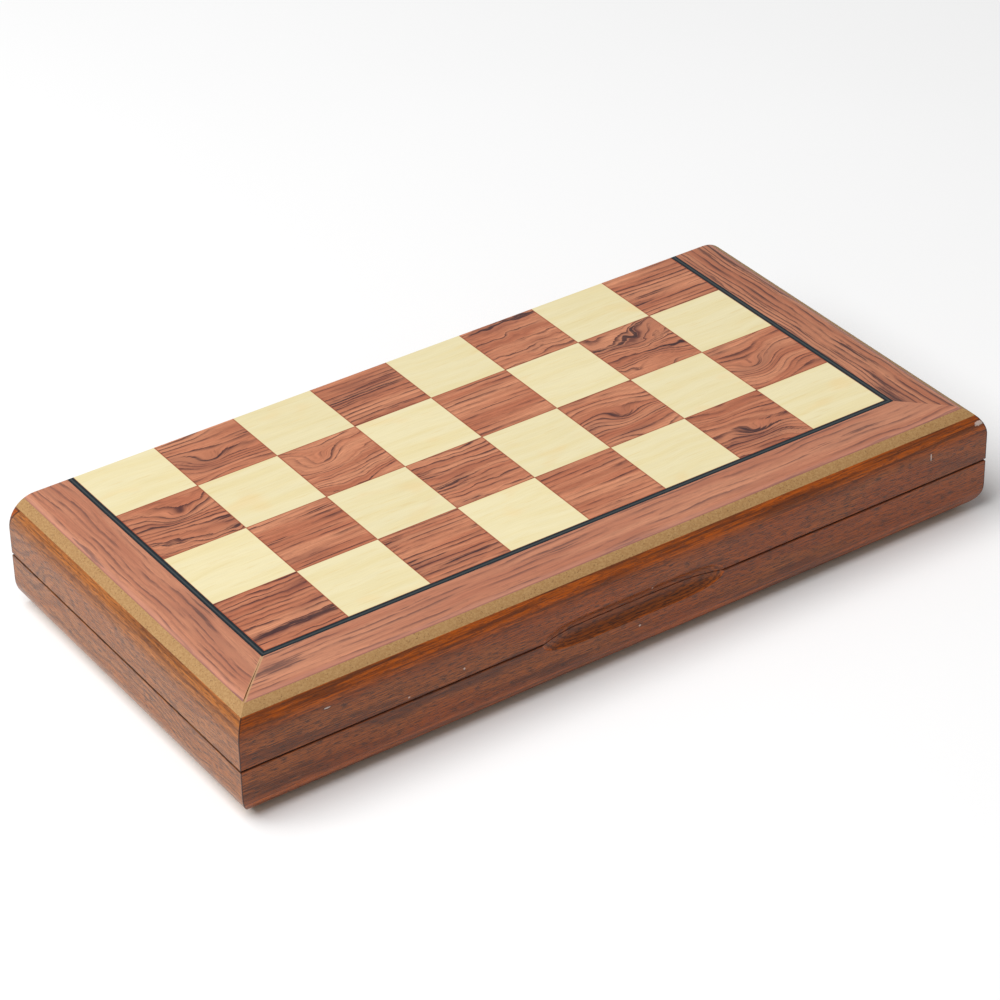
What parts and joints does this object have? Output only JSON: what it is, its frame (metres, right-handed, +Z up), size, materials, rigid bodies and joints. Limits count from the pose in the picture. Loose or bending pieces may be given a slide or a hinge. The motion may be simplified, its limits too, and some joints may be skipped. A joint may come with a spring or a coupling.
{
  "type": "folding chess set with board",
  "caption": "Folding wooden chess case: its two halves open flat about hinges at the long edge to form the board, and fitted trays inside hold the men.",
  "frame": {"origin": "centre of the case's footprint, on the table under the closed case", "axes": "+Z up, +X along the hinge edge to the right seen from the front, +Y from the finger scoop to the hinge edge"},
  "size_m": [0.3, 0.1499, 0.0414],
  "materials": {
    "rosewood_veneer": "satin lacquered rosewood veneer, reddish brown with dark streaks",
    "light_veneer": "satin lacquered pale cream veneer with faint grain",
    "black_line": "satin black dyed veneer line",
    "board_core": "lacquered tan fibreboard with fine dark specks",
    "frame_wood": "satin lacquered reddish brown hardwood with short dark pores",
    "hinge_brass": "brass plated, lightly polished",
    "pin_brass": "drawn brass",
    "screw_brass": "turned brass",
    "magnet_nickel": "nickel plated",
    "tray_flock": "short green flock",
    "men_felt": "green felt",
    "light_men_wood": "turned boxwood, satin",
    "dark_men_wood": "turned dark stained wood, satin"
  },
  "bodies": {
    "base": {"base_back_rail": "frame_wood", "base_board_panel": "board_core", "base_dark_squares": "rosewood_veneer", "base_front_border": "rosewood_veneer", "base_front_rail": "frame_wood", "base_hinge_screws": "screw_brass", "base_inlay_line": "black_line", "base_left_border": "rosewood_veneer", "base_left_hinge_leaf": "hinge_brass", "base_left_rail": "frame_wood", "base_light_squares": "light_veneer", "base_magnets": "magnet_nickel", "base_right_border": "rosewood_veneer", "base_right_hinge_leaf": "hinge_brass", "base_right_rail": "frame_wood", "base_tray": "tray_flock", "left_hinge_pin": "pin_brass", "right_hinge_pin": "pin_brass", "white_bishop_left": "light_men_wood", "white_bishop_right": "light_men_wood", "white_felts": "men_felt", "white_king": "light_men_wood", "white_knight_left": "light_men_wood", "white_knight_right": "light_men_wood", "white_pawns": "light_men_wood", "white_queen": "light_men_wood", "white_rook_left": "light_men_wood", "white_rook_right": "light_men_wood"},
    "lid": {"black_bishop_left": "dark_men_wood", "black_bishop_right": "dark_men_wood", "black_felts": "men_felt", "black_king": "dark_men_wood", "black_knight_left": "dark_men_wood", "black_knight_right": "dark_men_wood", "black_pawns": "dark_men_wood", "black_queen": "dark_men_wood", "black_rook_left": "dark_men_wood", "black_rook_right": "dark_men_wood", "lid_back_rail": "frame_wood", "lid_board_panel": "board_core", "lid_dark_squares": "rosewood_veneer", "lid_front_border": "rosewood_veneer", "lid_front_rail": "frame_wood", "lid_hinge_screws": "screw_brass", "lid_inlay_line": "black_line", "lid_left_border": "rosewood_veneer", "lid_left_hinge_leaf": "hinge_brass", "lid_left_rail": "frame_wood", "lid_light_squares": "light_veneer", "lid_magnets": "magnet_nickel", "lid_right_border": "rosewood_veneer", "lid_right_hinge_leaf": "hinge_brass", "lid_right_rail": "frame_wood", "lid_tray": "tray_flock"}
  },
  "joints": [
    {"name": "lid_fold", "type": "hinge", "parent": "base", "child": "lid", "pos_m": [0, 0.07405, 0.0207], "axis": [-1, 0, 0], "range_deg": [0, 180]}
  ]
}
